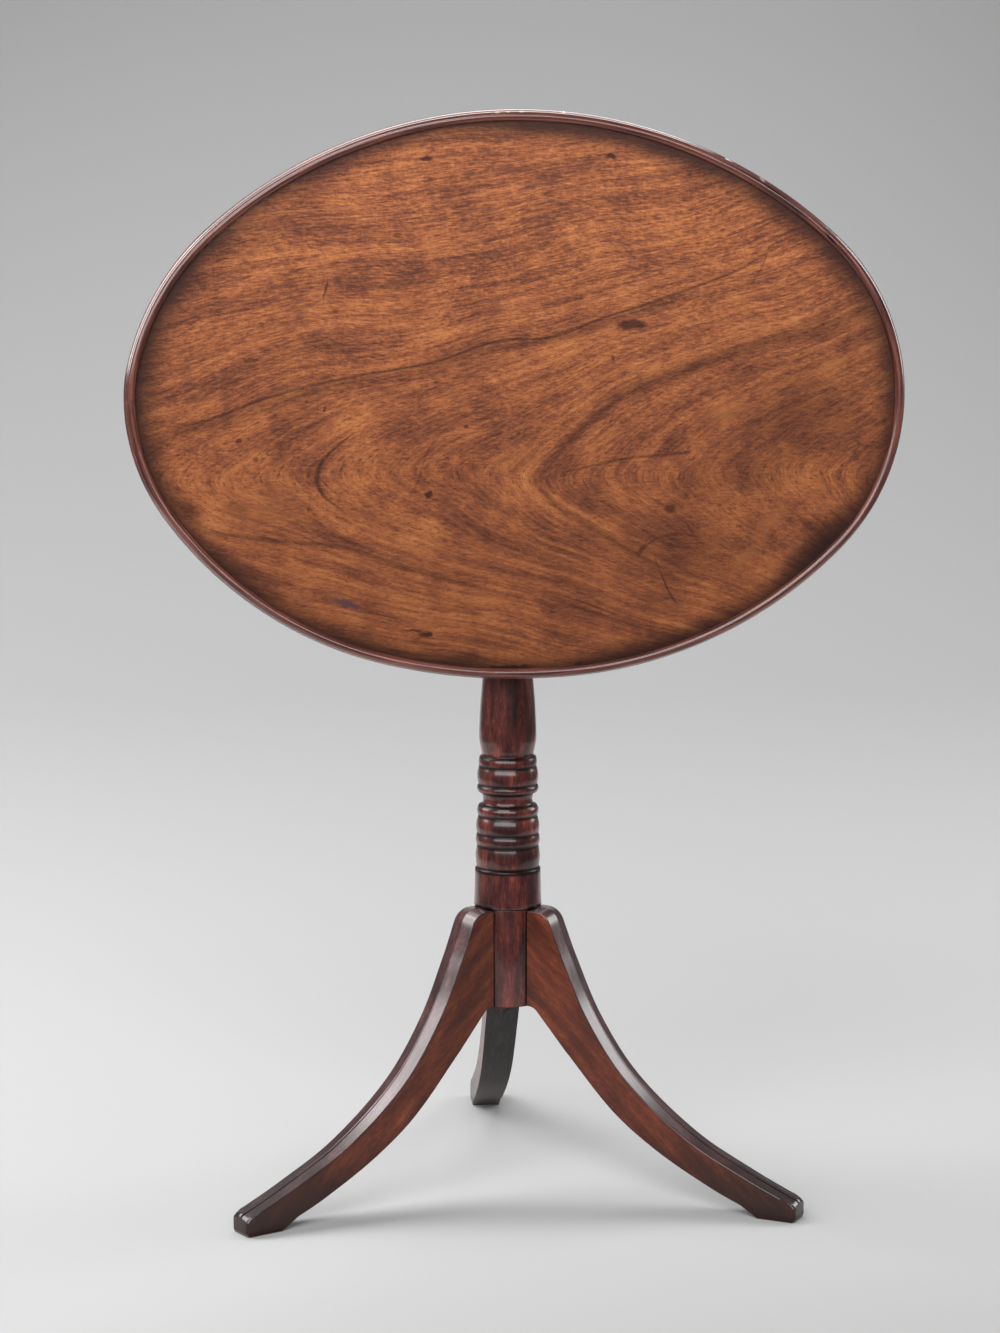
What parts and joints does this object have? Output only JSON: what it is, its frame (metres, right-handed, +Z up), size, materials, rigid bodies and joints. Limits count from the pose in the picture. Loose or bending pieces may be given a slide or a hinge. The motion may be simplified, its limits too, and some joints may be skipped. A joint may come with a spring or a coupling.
{
  "type": "tilt-top tripod table",
  "caption": "Tilt-top occasional table: oval dished top tipped upright on a turned pillar, with downswept legs and a brass spring catch.",
  "frame": {"origin": "the point on the floor under the pillar's axis", "axes": "+Z up; the table is seen from -Y, where the tipped top's face looks; +X to that viewer's right"},
  "size_m": [0.719, 0.4681, 1.0338],
  "materials": {
    "figured_mahogany": "satin, figured red-brown mahogany",
    "moulding_mahogany": "polished, rubbed on the beads",
    "dark_mahogany": "gloss french polish over dark stained mahogany",
    "underside_mahogany": "dry, unpolished, oxidised",
    "aged_brass": "aged, dull",
    "wrought_iron": "dark, lightly rusted"
  },
  "bodies": {
    "stand": {"pillar": "dark_mahogany", "tenon_wedge": "underside_mahogany", "block": "underside_mahogany", "keeper_plate": "aged_brass", "keeper_screws": "aged_brass", "strap_plate": "wrought_iron", "strap_screws": "wrought_iron", "leg_back": "dark_mahogany", "leg_left": "dark_mahogany", "leg_right": "dark_mahogany"},
    "top": {"top_board": "figured_mahogany", "rim_lip": "moulding_mahogany", "rim_bead_long": "moulding_mahogany", "rim_bead_patch": "moulding_mahogany", "bearer_left": "underside_mahogany", "bearer_right": "underside_mahogany", "bearer_screws": "wrought_iron", "catch_case": "aged_brass", "catch_case_screws": "aged_brass", "catch_spring": "wrought_iron"},
    "catch_bolt": {"catch_bolt": "aged_brass", "catch_knob": "aged_brass"}
  },
  "joints": [
    {"name": "top_tilt", "type": "hinge", "parent": "stand", "child": "top", "pos_m": [0, -0.082, 0.691], "axis": [-1, 0, 0], "range_deg": [0, 90]},
    {"name": "catch_slide", "type": "slide", "parent": "top", "child": "catch_bolt", "axis": [0, 0, 1], "range_m": [0, 0.0085], "stiffness_N_per_m": 250, "springref_m": -0.012, "deforming": ["catch_spring"]}
  ]
}
